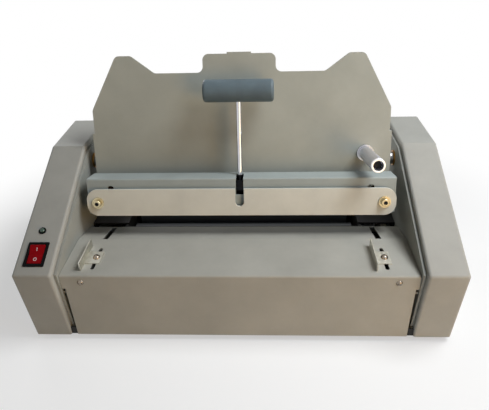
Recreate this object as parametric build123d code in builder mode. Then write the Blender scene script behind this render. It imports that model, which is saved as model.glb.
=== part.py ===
"""Tabletop perfect binding machine: a swinging book clamp over a glue tank and a cover table.

The origin is on the ground under the middle of the machine. +X runs to the operator's right,
+Y to the back and +Z up. All sizes are in millimetres.
"""

import os
from math import atan2, cos, degrees, pi, radians, sin, tan

from build123d import *

os.makedirs("parts", exist_ok=True)

# Overall sizes
overall_width = 540
base_depth = 272
base_shift = 4.5
foot_height = 8
front_height = 100
cover_back_height = 191.6
end_cover_width = 48

# Sheet thicknesses and shared gaps
cover_sheet = 1.5
panel_sheet = 2
frame_sheet = 3
seam = 0.5
touch_gap = 0.3
running_clearance = 0.05
overrun = 1

# End covers
cover_nose_reach = 11.4
cover_nose_rise = 9.1
slope_run = 185.7
cover_crease_radius = 4
cover_edge_radius = 3.6
cover_return = 9

# Dome-headed sheet screws
dome_head_radius = 4
dome_head_height = 2.2
dome_shank_radius = 2
dome_shank_length = 6
driver_slot_width = 1
driver_slot_depth = 0.8

# Base pan and feet
pan_flange_height = 12
foot_top_radius = 11
foot_bottom_radius = 9
foot_inset_x = 35
foot_inset_y = 31
foot_recess_radius = 5
foot_recess_depth = 4
foot_screw_head_radius = 3.6
foot_screw_head_height = 2.4
foot_screw_length = 13

# Side frames
frame_setback = 4.1
frame_inset = 7
frame_foot_width = 14
frame_foot_margin = 46
frame_rear_flange = 18
wiring_hole_radius = 10
wiring_hole_y = -55.5
wiring_hole_z = 60

# Table, its front face and the rail behind the face
front_notch_drop = 20
table_rear_flange = 8
table_bend_radius = 2.5
table_rear_y = -9.5
table_screw_inset = 25
table_screw_drop = 10
front_side_gap = 4.5
front_rail_height = 24
front_rail_drop = 4
front_rail_depth = 14
rail_sheet = 1.5
rail_width = 14
rail_height = 13
rail_end_gap = 4

# Stop slots, side stops, and the falling bed with its slits
stop_slot_inset = 37
stop_slot_setback = 13
stop_slot_length = 43
stop_slot_width = 5
bed_setback = 76
slit_inset = 36
slit_length = 43
slit_width = 7.5
stop_sheet = 1.5
stop_screw_setback = 35
stop_foot_length = 24
stop_foot_width = 21
stop_lip_reach = 14
stop_lip_height = 12
stop_lip_setback = 10
stop_lip_length = 50
stop_screw_head_radius = 4.6
stop_screw_head_height = 3.4
stop_nut_radius = 5
stop_nut_height = 3

# Rear cover
deck_rise = 6
deck_front_y = 54.5
deck_flange = 14
rear_screw_margin = 10
vent_slot_length = 30
vent_slot_width = 3
vent_pitch = 9
vent_count = 6
vent_x = 90
vent_z = 62

# Glue tank and roller
drive_bay_width = 48.5
tank_depth = 56
tank_front_y = -5.5
tank_bottom_z = 49
tank_height = 42
tank_wall = 4
tank_floor = 5
roller_y = 19.5
roller_z = 68
roller_radius = 12
roller_end_gap = 6
roller_shaft_radius = 4
roller_shaft_overhang = 14
roller_bush_radius = 7
roller_bush_flange_radius = 9
roller_bush_flange = 2
heater_end_margin = 20
heater_width = 18
heater_height = 8
heater_gap = 4
thermostat_radius = 9
thermostat_height = 10
thermostat_inset = 50
blade_sheet = 1.5
blade_gap = 1.2
blade_drop = 20
blade_end_margin = 15
blade_hook_width = 20
blade_hook_inset = 25
blade_hook_count = 3
bracket_sheet = 2
bracket_width = 36
bracket_leg = 12

# Roller drive
roller_gear_radius = 20
gear_teeth = 40
pinion_teeth = 16
gear_face = 8
gear_inset = 18.5
gear_gap = 2
mesh_angle = -32
root_depth_share = 1.25
flank_shares = (-0.32, -0.13, 0.13, 0.32)
motor_radius = 25
motor_thickness = 22
motor_shaft_offset = 12
motor_shaft_radius = 3
motor_shaft_reach = 6
motor_plate_sheet = 2
motor_plate_margin = 3
motor_plate_hole_radius = 5
motor_screw_circle_radius = 19
motor_screw_radius = 1.8
motor_screw_head_radius = 3.2
motor_screw_head_height = 1.4

# Electrics
board_length = 90
board_depth = 56
board_thickness = 1.6
board_x = -105
board_inset = 44
standoff_height = 10
standoff_radius = 3.5
standoff_inset = 6
transformer_size = 30
relay_length = 18
relay_height = 15
inlet_inset = 53
inlet_z = 46
inlet_flange_width = 50
inlet_flange_height = 28
inlet_body_width = 27
inlet_body_height = 20
inlet_body_depth = 24
inlet_wall = 2
inlet_pin_width = 2
inlet_pin_height = 4
inlet_pin_length = 14
inlet_pin_offset = 7
inlet_earth_rise = 3

# Power switch and lamp on the left cover
switch_inset = 24
switch_run = 29.5
switch_length = 33
switch_width = 25
switch_rim = 3
switch_rim_height = 2
switch_body_depth = 16
switch_wall = 1
rocker_gap = 0.5
rocker_end_gap = 1.1
rocker_top_rise = 4.2
rocker_dip = 1.6
rocker_depth = 5
rocker_heel = 1.5
rocker_pivot_depth = 1.5
rocker_swing = 8
rocker_peg_radius = 1.2
rocker_peg_reach = 1.2
lamp_inset = 23
lamp_run = 63
lamp_bezel_radius = 4.6
lamp_bezel_height = 1.5
lamp_lens_radius = 3
lamp_lens_height = 2.8
lamp_lens_round = 0.9
lamp_body_radius = 4
lamp_body_depth = 14

# Clamp back plate, in the clamp's own leaning frame
lean = 15
clamp_foot_y = -6.5
jaw_gap = 15
plate_sheet = 3
plate_side_gap = 15.5
plate_bottom = 17.5
plate_side_top = 152
ear_outer_inset = 38
ear_inner_inset = 58
ear_top = 223
ear_foot_inset = 89
valley_height = 200
tab_half_width = 48.5
tab_top = 224
tab_lip_half_width = 16
tab_lip_rise = 2
plate_corner_radius = 8

# Swing pivot and arms
pivot_y = 58.5
pivot_z = 169
pivot_shaft_radius = 6
pivot_shaft_reach = 2
pivot_collar_radius = 9
pivot_bush_radius = 8
pivot_bush_flange_radius = 11
pivot_bush_flange = 2
arm_boss_radius = 14
arm_root_bottom = 32
arm_root_top = 120

# Swing handle
handle_inset = 31.5
handle_height = 89.8
handle_length = 80
handle_radius = 9
handle_collar_radius = 11.5
handle_collar_thickness = 2
handle_bore_radius = 6.4
handle_bore_depth = 12
handle_stud_radius = 4
handle_stud_head_radius = 5.4
handle_stud_head_height = 5
handle_nut_radius = 7
handle_nut_height = 5

# Front jaw
jaw_side_gap = 14.5
channel_bottom = 18.5
channel_top = 67
channel_depth = 33
channel_sheet = 2
channel_bend_radius = 2.2
channel_back_gap = 0.5
channel_slot_width = 10
channel_slot_back = 7
channel_slot_bottom = 44.2
channel_hole_inset = 32
channel_hole_height = 53
channel_hole_radius = 4.5
jaw_plate_sheet = 3
jaw_plate_bottom = 17.5
jaw_plate_top = 54
jaw_plate_gap = 3
jaw_plate_end_radius = 15
notch_width = 11.5
notch_bottom = 30
jaw_screw_inset = 15
jaw_screw_height = 35.5
jaw_washer_radius = 7.8
jaw_washer_thickness = 1.5
jaw_screw_head_radius = 5
jaw_screw_head_height = 5
jaw_screw_radius = 3
jaw_screw_reach = 16
jaw_screw_socket_radius = 2.9
jaw_screw_socket_depth = 2.5
guide_rod_radius = 6
guide_rod_tail = 54
guide_collar_radius = 9
guide_bush_radius = 9
guide_bush_flange_radius = 13
guide_bush_flange = 2.5
guide_bush_tail = 12

# Pressure pad, cam and lever
pad_end_margin = 26
pad_sheet = 3.5
pad_margin = 1
pad_post_x = 60
pad_post_height = 42
pad_post_radius = 3
pad_post_end_gap = 0.6
pad_travel = 3
lever_swing = 80
cam_pivot_height = 45.6
cam_pivot_forward = 14
cam_width = 12
cam_boss_height = 15
cam_neck_radius = 4.3
cam_neck_length = 7
lever_pin_radius = 3
lug_gap = 1
lug_sheet = 2
lug_back = 8
lug_bottom = 36.6
lug_top = 55.6
lug_foot = 14
lever_rod_radius = 3.5
lever_rod_root = 5.5
grip_height = 178
grip_radius = 14.5
grip_length = 91
grip_end_radius = 4
grip_bore_depth = 19

# Places worked out from the sizes above
half_width = overall_width / 2
front_y = base_shift - base_depth / 2
rear_y = front_y + base_depth
middle_y = (front_y + rear_y) / 2
table_z = foot_height + front_height
cover_top_z = foot_height + cover_back_height
deck_height = table_z + deck_rise
cover_inner_x = half_width - end_cover_width
frame_outer_x = cover_inner_x - seam
frame_inner_x = frame_outer_x - frame_sheet
table_half_width = frame_inner_x - seam
front_half_width = frame_inner_x - front_side_gap
pan_top_z = foot_height + cover_sheet
pan_rim_z = foot_height + pan_flange_height
pan_half_width = half_width - cover_sheet - touch_gap
pan_half_depth = base_depth / 2 - panel_sheet - touch_gap
switch_x = switch_inset - half_width
lamp_x = lamp_inset - half_width
table_screw_x = table_half_width - table_screw_inset
stop_slot_x = table_half_width - stop_slot_inset
stop_slot_front_y = front_y + stop_slot_setback
slit_x = table_half_width - slit_inset
bed_front_y = front_y + bed_setback
bed_drop = (table_rear_y - bed_front_y) * tan(radians(lean))
bed_rear_z = table_z - bed_drop
stop_screw_y = front_y + stop_screw_setback
stop_lip_front_y = front_y + stop_lip_setback
inlet_x = inlet_inset - table_half_width
board_y = rear_y - board_inset
gear_x = frame_inner_x - gear_inset
gear_module = 2 * roller_gear_radius / gear_teeth
tank_end_x = frame_inner_x - drive_bay_width
tank_length = 2 * tank_end_x
plate_half_width = frame_inner_x - plate_side_gap
ear_outer_x = plate_half_width - ear_outer_inset
ear_inner_x = plate_half_width - ear_inner_inset
ear_foot_x = plate_half_width - ear_foot_inset
handle_x = plate_half_width - handle_inset
jaw_half_width = frame_inner_x - jaw_side_gap
jaw_screw_x = jaw_half_width - jaw_screw_inset
channel_hole_x = jaw_half_width - channel_hole_inset
pad_half_width = jaw_half_width - pad_end_margin
nose_y = front_y - cover_nose_reach
nose_z = table_z + cover_nose_rise
slope_angle = atan2(cover_top_z - nose_z, slope_run)
sides = {"left": -1, "right": 1}

# The slope plane lies on the covers' sloping facet: x across, y up the slope
slope_plane = Plane(
    origin=(0, nose_y, nose_z),
    x_dir=(1, 0, 0),
    z_dir=(0, -sin(slope_angle), cos(slope_angle)),
)
# The clamp face is the front of the clamped pages: x across, y up the pages, z to the operator
clamp_face = Plane(
    origin=(0, clamp_foot_y, table_z),
    x_dir=(1, 0, 0),
    z_dir=(0, -cos(radians(lean)), sin(radians(lean))),
)
# The clamp side is the same frame seen from the right: x to the back, y up the pages
clamp_side = Plane(
    origin=(0, clamp_foot_y, table_z),
    x_dir=(0, cos(radians(lean)), -sin(radians(lean))),
    z_dir=(1, 0, 0),
)
pivot_local = clamp_side.to_local_coords(Vector(0, pivot_y, pivot_z))
slope_out = Axis(slope_plane.origin, slope_plane.z_dir)
clamp_forward = Axis(clamp_face.origin, clamp_face.z_dir)


def side_plane(x, y=0, z=0):
    """Return a plane across the machine, with its own x to the back and y up."""
    return Plane(origin=(x, y, z), x_dir=(0, 1, 0), z_dir=(1, 0, 0))


def front_plane(x, y, z):
    """Return an upright plane that faces the operator, with its own x to the right and y up."""
    return Plane(origin=(x, y, z), x_dir=(1, 0, 0), z_dir=(0, -1, 0))


def rear_plane(x, y, z):
    """Return an upright plane that faces backwards, with its own y up."""
    return Plane(origin=(x, y, z), x_dir=(-1, 0, 0), z_dir=(0, 1, 0))


def clamp_plane(x, height, forward):
    """Return a plane along the clamp face, at a point of the clamp's frame."""
    place = clamp_face.from_local_coords(Vector(x, height, forward))
    return Plane(origin=place, x_dir=(1, 0, 0), z_dir=clamp_face.z_dir)


def clamp_up_plane(x, height, forward):
    """Return a plane square to the pages' height, at a point of the clamp's frame."""
    place = clamp_face.from_local_coords(Vector(x, height, forward))
    return Plane(origin=place, x_dir=(1, 0, 0), z_dir=clamp_side.y_dir)


def cover_outline():
    """Draw the end cover's side view in the sketch that is open."""
    with BuildLine() as outline:
        Polyline(
            (front_y, foot_height),
            (nose_y, nose_z),
            (nose_y + slope_run, cover_top_z),
            (rear_y, cover_top_z),
            (rear_y, foot_height),
            close=True,
        )
    make_face(outline.edges())


def ring(outer_radius, inner_radius):
    """Draw a round ring in the sketch that is open."""
    Circle(outer_radius)
    Circle(inner_radius, mode=Mode.SUBTRACT)


def rectangle_between(low, high):
    """Draw a rectangle from its low corner to its high corner in the sketch that is open."""
    middle = ((low[0] + high[0]) / 2, (low[1] + high[1]) / 2)
    with Locations(middle):
        Rectangle(abs(high[0] - low[0]), abs(high[1] - low[1]))


def dome_screw(place, head_radius, head_height, shank_radius, shank_length):
    """Add a dome-headed screw to the part that is open, its head standing on the plane place."""
    profile_plane = Plane(origin=place.origin, x_dir=place.x_dir, z_dir=-place.y_dir)
    with BuildSketch(profile_plane) as profile:
        with BuildLine():
            crown = ThreePointArc(
                (0, head_height),
                (head_radius * sin(pi / 4), head_height * cos(pi / 4)),
                (head_radius, 0),
            )
            Polyline(
                crown @ 1,
                (shank_radius, 0),
                (shank_radius, -shank_length),
                (0, -shank_length),
                (0, head_height),
            )
        make_face()
    revolve(profile.sketch, axis=Axis(place.origin, place.z_dir))
    with BuildSketch(place.offset(head_height)) as driver_slot:
        Rectangle(2 * head_radius, driver_slot_width)
    extrude(driver_slot.sketch, amount=-driver_slot_depth, mode=Mode.SUBTRACT)


def gear_outline(teeth, tooth_angle):
    """Draw a spur gear with the middle of one tooth at tooth_angle, in degrees."""
    pitch_radius = gear_module * teeth / 2
    root_radius = pitch_radius - gear_module * root_depth_share
    tip_radius = pitch_radius + gear_module
    flank_radii = (root_radius, tip_radius, tip_radius, root_radius)
    points = []
    for tooth in range(teeth):
        for share, radius in zip(flank_shares, flank_radii):
            angle = radians(tooth_angle) + (tooth + share) * 2 * pi / teeth
            points.append((radius * cos(angle), radius * sin(angle)))
    with BuildLine() as outline:
        Polyline(*points, close=True)
    make_face(outline.edges())


# Base pan: a tray that carries the frames, the feet and the drive
foot_places = [
    (x, y)
    for x in (foot_inset_x - half_width, half_width - foot_inset_x)
    for y in (front_y + foot_inset_y, rear_y - foot_inset_y)
]
cover_screw_z = foot_height + pan_flange_height / 2
cover_screw_ys = (front_y + foot_inset_y, rear_y - foot_inset_y)

with BuildPart() as base_pan:
    with BuildSketch(Plane.XY.offset(foot_height)):
        with Locations((0, middle_y)):
            Rectangle(2 * pan_half_width, 2 * pan_half_depth)
    extrude(amount=pan_flange_height)
    with BuildSketch(Plane.XY.offset(pan_top_z)):
        with Locations((0, middle_y)):
            Rectangle(2 * (pan_half_width - cover_sheet), 2 * (pan_half_depth - cover_sheet))
    extrude(amount=pan_flange_height, mode=Mode.SUBTRACT)
    with BuildSketch(Plane.XY.offset(foot_height)):
        with Locations(*foot_places):
            Circle(dome_shank_radius)
    extrude(amount=cover_sheet, mode=Mode.SUBTRACT)
    for side in sides.values():
        for y in cover_screw_ys:
            with BuildSketch(side_plane(side * half_width, y, cover_screw_z)):
                Circle(dome_shank_radius)
            extrude(amount=-side * dome_shank_length, mode=Mode.SUBTRACT)
base_pan.part.label = "base_pan"
export_step(base_pan.part, "parts/base_pan.step")

# Rubber feet: tapered, with a recess for the screw head
foot_taper = degrees(atan2(foot_top_radius - foot_bottom_radius, foot_height))

with BuildPart() as rubber_feet:
    with BuildSketch(Plane.XY.offset(foot_height)):
        with Locations(*foot_places):
            Circle(foot_top_radius)
    extrude(amount=-foot_height, taper=foot_taper)
    with BuildSketch(Plane.XY):
        with Locations(*foot_places):
            Circle(foot_recess_radius)
    extrude(amount=foot_recess_depth, mode=Mode.SUBTRACT)
    with BuildSketch(Plane.XY):
        with Locations(*foot_places):
            Circle(dome_shank_radius)
    extrude(amount=foot_height, mode=Mode.SUBTRACT)
rubber_feet.part.label = "rubber_feet"
export_step(rubber_feet.part, "parts/rubber_feet.step")

# Foot screws: up through the feet into the pan
with BuildPart() as foot_screws:
    for x, y in foot_places:
        foot_place = Plane(origin=(x, y, foot_recess_depth), x_dir=(1, 0, 0), z_dir=(0, 0, -1))
        dome_screw(
            foot_place,
            foot_screw_head_radius,
            foot_screw_head_height,
            dome_shank_radius,
            foot_screw_length,
        )
foot_screws.part.label = "foot_screws"
export_step(foot_screws.part, "parts/foot_screws.step")

# Side frames: plates just inside the covers, with a foot, a rear flange and the pivot hole
frame_rear_bottom = pan_rim_z + overrun
frame_rear_top = deck_height - panel_sheet - touch_gap
frame_rear_y = rear_y - panel_sheet
rear_screw_x = frame_inner_x - frame_rear_flange / 2
rear_screw_zs = (frame_rear_bottom + rear_screw_margin, frame_rear_top - rear_screw_margin)

for name, side in sides.items():
    with BuildPart() as side_frame:
        with BuildSketch(side_plane(side * frame_inner_x)):
            cover_outline()
            offset(amount=-frame_inset, kind=Kind.INTERSECTION)
            rectangle_between(
                (front_y + frame_setback, pan_top_z), (rear_y - frame_setback, frame_rear_bottom)
            )
            rectangle_between(
                (rear_y - frame_rear_flange, pan_top_z), (rear_y - frame_setback, frame_rear_top)
            )
        extrude(amount=side * frame_sheet)
        with BuildSketch(Plane.XY.offset(pan_top_z)):
            with Locations((side * (frame_outer_x + frame_foot_width / 2), middle_y)):
                Rectangle(frame_foot_width, base_depth - 2 * frame_foot_margin)
        extrude(amount=frame_sheet)
        with BuildSketch(Plane.XY.offset(frame_rear_bottom)):
            rectangle_between(
                (side * (frame_inner_x - frame_rear_flange), frame_rear_y - frame_sheet),
                (side * frame_outer_x, frame_rear_y),
            )
        extrude(amount=frame_rear_top - frame_rear_bottom)
        with BuildSketch(side_plane(side * frame_inner_x)):
            with Locations((pivot_y, pivot_z)):
                Circle(pivot_bush_radius)
            with Locations((wiring_hole_y, wiring_hole_z)):
                Circle(wiring_hole_radius)
        extrude(amount=side * frame_sheet, mode=Mode.SUBTRACT)
        for z in rear_screw_zs:
            with BuildSketch(rear_plane(side * rear_screw_x, frame_rear_y, z)):
                Circle(dome_shank_radius)
            extrude(amount=-frame_sheet, mode=Mode.SUBTRACT)
    side_frame.part.label = f"side_frame_{name}"
    export_step(side_frame.part, f"parts/side_frame_{name}.step")

# Table rails: angles welded inside the frames, carrying the table's side edges
rail_top = table_z - panel_sheet
rail_front_y = front_y + frame_setback + rail_end_gap
rail_rear_y = bed_front_y - rail_end_gap

with BuildPart() as table_rails:
    for side in sides.values():
        with BuildSketch(front_plane(0, rail_front_y, rail_top)):
            rectangle_between(
                (side * (frame_inner_x - rail_width), -rail_sheet), (side * frame_inner_x, 0)
            )
            rectangle_between(
                (side * (frame_inner_x - rail_sheet), -rail_height), (side * frame_inner_x, 0)
            )
        extrude(amount=rail_front_y - rail_rear_y)
table_rails.part.label = "table_rails"
export_step(table_rails.part, "parts/table_rails.step")

# End covers: folded shells, open below and inwards, with a return along their inner edge
switch_cutout_width = switch_width - 2 * (switch_rim - switch_wall)
switch_cutout_length = switch_length - 2 * (switch_rim - switch_wall)
switch_plane = Plane(
    origin=slope_plane.from_local_coords(Vector(switch_x, switch_run, 0)),
    x_dir=slope_plane.x_dir,
    z_dir=slope_plane.z_dir,
)
lamp_plane = Plane(
    origin=slope_plane.from_local_coords(Vector(lamp_x, lamp_run, 0)),
    x_dir=slope_plane.x_dir,
    z_dir=slope_plane.z_dir,
)

for name, side in sides.items():
    with BuildPart() as end_cover:
        with BuildSketch(side_plane(side * cover_inner_x)) as outer_view:
            cover_outline()
            upper_corners = outer_view.vertices().filter_by_position(
                Axis.Y, table_z - overrun, cover_top_z + overrun
            )
            fillet(upper_corners, radius=cover_crease_radius)
        extrude(amount=side * end_cover_width)
        rim_edges = end_cover.edges().filter_by(
            lambda edge: abs(abs(edge.center().X) - half_width) < touch_gap
            or abs(abs(edge.center().X) - cover_inner_x) < touch_gap
        )
        bottom_edges = end_cover.edges().group_by(Axis.Z)[0]
        fillet([edge for edge in rim_edges if edge not in bottom_edges], radius=cover_edge_radius)
        with BuildSketch(side_plane(side * (cover_inner_x + cover_sheet))):
            cover_outline()
            offset(amount=-cover_sheet, kind=Kind.INTERSECTION)
            rectangle_between(
                (front_y + cover_sheet, foot_height - overrun),
                (rear_y - cover_sheet, pan_rim_z),
            )
        extrude(amount=side * (end_cover_width - 2 * cover_sheet), mode=Mode.SUBTRACT)
        with BuildSketch(side_plane(side * (cover_inner_x - overrun))):
            cover_outline()
            offset(amount=-cover_return, kind=Kind.INTERSECTION)
            rectangle_between(
                (front_y + cover_return, foot_height - overrun),
                (rear_y - cover_return, pan_rim_z),
            )
            rectangle_between(
                (front_y + cover_sheet, foot_height - overrun),
                (rear_y - cover_sheet, pan_rim_z + seam),
            )
        extrude(amount=side * (cover_sheet + 2 * overrun), mode=Mode.SUBTRACT)
        for y in cover_screw_ys:
            with BuildSketch(side_plane(side * half_width, y, cover_screw_z)):
                Circle(dome_shank_radius)
            extrude(amount=-side * 2 * cover_sheet, mode=Mode.SUBTRACT)
        if name == "left":
            with BuildSketch(switch_plane):
                Rectangle(switch_cutout_width, switch_cutout_length)
            with BuildSketch(lamp_plane):
                Circle(lamp_body_radius)
            extrude(amount=-2 * cover_sheet, mode=Mode.SUBTRACT)
    end_cover.part.label = f"end_cover_{name}"
    export_step(end_cover.part, f"parts/end_cover_{name}.step")

# End cover screws: low on the outer sides, into the pan's flange
with BuildPart() as end_cover_screws:
    for side in sides.values():
        for y in cover_screw_ys:
            screw_place = Plane(
                origin=(side * half_width, y, cover_screw_z),
                x_dir=(0, 1, 0),
                z_dir=(side, 0, 0),
            )
            dome_screw(
                screw_place,
                dome_head_radius,
                dome_head_height,
                dome_shank_radius,
                dome_shank_length,
            )
end_cover_screws.part.label = "end_cover_screws"
export_step(end_cover_screws.part, "parts/end_cover_screws.step")

# Front rail: an angle between the side frames, behind the front face
rail_lip_top_z = table_z - front_rail_drop
rail_lip_bottom_z = rail_lip_top_z - front_rail_height
face_back_y = front_y + panel_sheet
table_screw_z = table_z - table_screw_drop

with BuildPart() as front_rail:
    with BuildSketch(side_plane(-front_half_width)):
        rectangle_between(
            (face_back_y, rail_lip_bottom_z), (face_back_y + panel_sheet, rail_lip_top_z)
        )
    extrude(amount=2 * front_half_width)
    with BuildSketch(side_plane(-frame_inner_x)):
        rectangle_between(
            (face_back_y, rail_lip_bottom_z),
            (face_back_y + front_rail_depth, rail_lip_bottom_z + panel_sheet),
        )
    extrude(amount=2 * frame_inner_x)
    for side in sides.values():
        with BuildSketch(front_plane(side * table_screw_x, face_back_y, table_screw_z)):
            Circle(dome_shank_radius)
        extrude(amount=-panel_sheet, mode=Mode.SUBTRACT)
front_rail.part.label = "front_rail"
export_step(front_rail.part, "parts/front_rail.step")

# Table: one folded sheet from the glue opening's flange to the foot of the front face
# Its bed falls to the back by the clamp's lean, so a spine stands flat on it
bed_sheet_drop = panel_sheet / cos(radians(lean))
bed_under_y = bed_front_y - panel_sheet * tan(radians(lean) / 2)
bed_flange_top_z = bed_rear_z - bed_sheet_drop + panel_sheet * tan(radians(lean))
stop_slot_middle_y = stop_slot_front_y + stop_slot_length / 2
panel_bottom_z = foot_height + overrun

with BuildPart() as table_top:
    with BuildSketch(side_plane(-table_half_width)):
        rectangle_between((front_y, panel_bottom_z), (face_back_y, table_z))
        Polygon(
            (front_y, table_z),
            (bed_front_y, table_z),
            (table_rear_y, bed_rear_z),
            (table_rear_y, bed_rear_z - table_rear_flange),
            (table_rear_y - panel_sheet, bed_rear_z - table_rear_flange),
            (table_rear_y - panel_sheet, bed_flange_top_z),
            (bed_under_y, table_z - panel_sheet),
            (front_y, table_z - panel_sheet),
            align=None,
        )
    extrude(amount=2 * table_half_width)
    crease = table_top.edges().filter_by(Axis.X).group_by(Axis.Z)[-1].sort_by(Axis.Y)[0]
    fillet(crease, radius=table_bend_radius)
    with BuildSketch(front_plane(0, front_y, 0)):
        for side in sides.values():
            rectangle_between(
                (side * front_half_width, panel_bottom_z - overrun),
                (side * (table_half_width + overrun), table_z - front_notch_drop),
            )
    extrude(amount=-panel_sheet, mode=Mode.SUBTRACT)
    with BuildSketch(Plane.XY.offset(table_z)):
        for side in sides.values():
            with Locations((side * stop_slot_x, stop_slot_middle_y)):
                SlotOverall(stop_slot_length, stop_slot_width, rotation=90)
    extrude(amount=-panel_sheet, mode=Mode.SUBTRACT)
    with BuildSketch(Plane.XY.offset(table_z)):
        for side in sides.values():
            with Locations((side * slit_x, bed_front_y + slit_length / 2)):
                Rectangle(slit_width, slit_length)
    extrude(amount=-bed_drop - bed_sheet_drop, mode=Mode.SUBTRACT)
    for side in sides.values():
        with BuildSketch(front_plane(side * table_screw_x, front_y, table_screw_z)):
            Circle(dome_shank_radius)
        extrude(amount=-panel_sheet, mode=Mode.SUBTRACT)
table_top.part.label = "table_top"
export_step(table_top.part, "parts/table_top.step")

# Table screws: two dome heads that hold the front face to its rail
with BuildPart() as table_screws:
    for side in sides.values():
        dome_screw(
            front_plane(side * table_screw_x, front_y, table_screw_z),
            dome_head_radius,
            dome_head_height,
            dome_shank_radius,
            dome_shank_length,
        )
table_screws.part.label = "table_screws"
export_step(table_screws.part, "parts/table_screws.step")

# Rear cover: back panel and deck in one folded sheet, with vents and the inlet's cut-out
with BuildPart() as rear_cover:
    with BuildSketch(side_plane(-table_half_width)):
        rectangle_between(
            (rear_y - panel_sheet, panel_bottom_z), (rear_y, deck_height)
        )
        rectangle_between((deck_front_y, deck_height - panel_sheet), (rear_y, deck_height))
        rectangle_between(
            (deck_front_y, deck_height - deck_flange), (deck_front_y + panel_sheet, deck_height)
        )
    extrude(amount=2 * table_half_width)
    deck_edges = rear_cover.edges().filter_by(Axis.X).group_by(Axis.Z)[-1]
    fillet(deck_edges, radius=table_bend_radius)
    with BuildSketch(rear_plane(vent_x, rear_y, vent_z)):
        with GridLocations(vent_pitch, 0, vent_count, 1):
            SlotOverall(vent_slot_length, vent_slot_width, rotation=90)
    with BuildSketch(rear_plane(inlet_x, rear_y, inlet_z)):
        Rectangle(inlet_body_width, inlet_body_height)
    extrude(amount=-panel_sheet, mode=Mode.SUBTRACT)
    for side in sides.values():
        for z in rear_screw_zs:
            with BuildSketch(rear_plane(side * rear_screw_x, rear_y, z)):
                Circle(dome_shank_radius)
            extrude(amount=-panel_sheet, mode=Mode.SUBTRACT)
rear_cover.part.label = "rear_cover"
export_step(rear_cover.part, "parts/rear_cover.step")

# Rear cover screws: into the side frames' rear flanges
with BuildPart() as rear_cover_screws:
    for side in sides.values():
        for z in rear_screw_zs:
            dome_screw(
                rear_plane(side * rear_screw_x, rear_y, z),
                dome_head_radius,
                dome_head_height,
                dome_shank_radius,
                dome_shank_length,
            )
rear_cover_screws.part.label = "rear_cover_screws"
export_step(rear_cover_screws.part, "parts/rear_cover_screws.step")

# Glue tank: an aluminium trough behind the table
tank_middle_y = tank_front_y + tank_depth / 2
tank_rear_y = tank_front_y + tank_depth
tank_top_z = tank_bottom_z + tank_height

with BuildPart() as glue_tank:
    with BuildSketch(Plane.XY.offset(tank_bottom_z)):
        with Locations((0, tank_middle_y)):
            Rectangle(tank_length, tank_depth)
    extrude(amount=tank_height)
    with BuildSketch(Plane.XY.offset(tank_bottom_z + tank_floor)):
        with Locations((0, tank_middle_y)):
            Rectangle(tank_length - 2 * tank_wall, tank_depth - 2 * tank_wall)
    extrude(amount=tank_height, mode=Mode.SUBTRACT)
    with BuildSketch(side_plane(-tank_end_x, roller_y, roller_z)):
        Circle(roller_bush_radius)
    extrude(amount=tank_length, mode=Mode.SUBTRACT)
glue_tank.part.label = "glue_tank"
export_step(glue_tank.part, "parts/glue_tank.step")

# Tank brackets: straps over the tank's ends, carried by the side frames
with BuildPart() as tank_brackets:
    for side in sides.values():
        with BuildSketch(front_plane(0, tank_middle_y + bracket_width / 2, tank_top_z)):
            rectangle_between(
                (side * (tank_end_x - tank_wall), 0), (side * frame_inner_x, bracket_sheet)
            )
            rectangle_between(
                (side * (frame_inner_x - bracket_sheet), -bracket_leg),
                (side * frame_inner_x, bracket_sheet),
            )
        extrude(amount=bracket_width)
tank_brackets.part.label = "tank_brackets"
export_step(tank_brackets.part, "parts/tank_brackets.step")

# Tank heaters: two strip heaters under the tank's floor
with BuildPart() as tank_heaters:
    with BuildSketch(Plane.XY.offset(tank_bottom_z)):
        with Locations((0, tank_middle_y)):
            with GridLocations(0, heater_width + heater_gap, 1, 2):
                Rectangle(tank_length - 2 * heater_end_margin, heater_width)
    extrude(amount=-heater_height)
tank_heaters.part.label = "tank_heaters"
export_step(tank_heaters.part, "parts/tank_heaters.step")

# Thermostat: a round sensor on the tank's back wall
thermostat_x = thermostat_inset - tank_end_x
thermostat_z = tank_bottom_z + tank_floor + thermostat_radius

with BuildPart() as thermostat:
    with BuildSketch(rear_plane(thermostat_x, tank_rear_y, thermostat_z)):
        Circle(thermostat_radius)
    extrude(amount=thermostat_height)
    with BuildSketch(rear_plane(thermostat_x, tank_rear_y + thermostat_height, thermostat_z)):
        Rectangle(thermostat_radius, thermostat_radius / 3)
    extrude(amount=thermostat_height / 2)
thermostat.part.label = "thermostat"
export_step(thermostat.part, "parts/thermostat.step")

# Doctor blade: close behind the roller, hung on three hooks over the tank's back wall
blade_y = roller_y + roller_radius + blade_gap
blade_end_x = tank_end_x - blade_end_margin
blade_hook_pitch = 2 * (blade_end_x - blade_hook_inset) / (blade_hook_count - 1)

with BuildPart() as doctor_blade:
    with BuildSketch(Plane.XY.offset(tank_top_z + blade_sheet)):
        rectangle_between((-blade_end_x, blade_y), (blade_end_x, blade_y + blade_sheet))
    extrude(amount=-blade_drop)
    with BuildSketch(Plane.XY.offset(tank_top_z)):
        with Locations((0, (blade_y + tank_rear_y) / 2)):
            with GridLocations(blade_hook_pitch, 0, blade_hook_count, 1):
                Rectangle(blade_hook_width, tank_rear_y - blade_y)
    extrude(amount=blade_sheet)
doctor_blade.part.label = "doctor_blade"
export_step(doctor_blade.part, "parts/doctor_blade.step")

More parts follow.
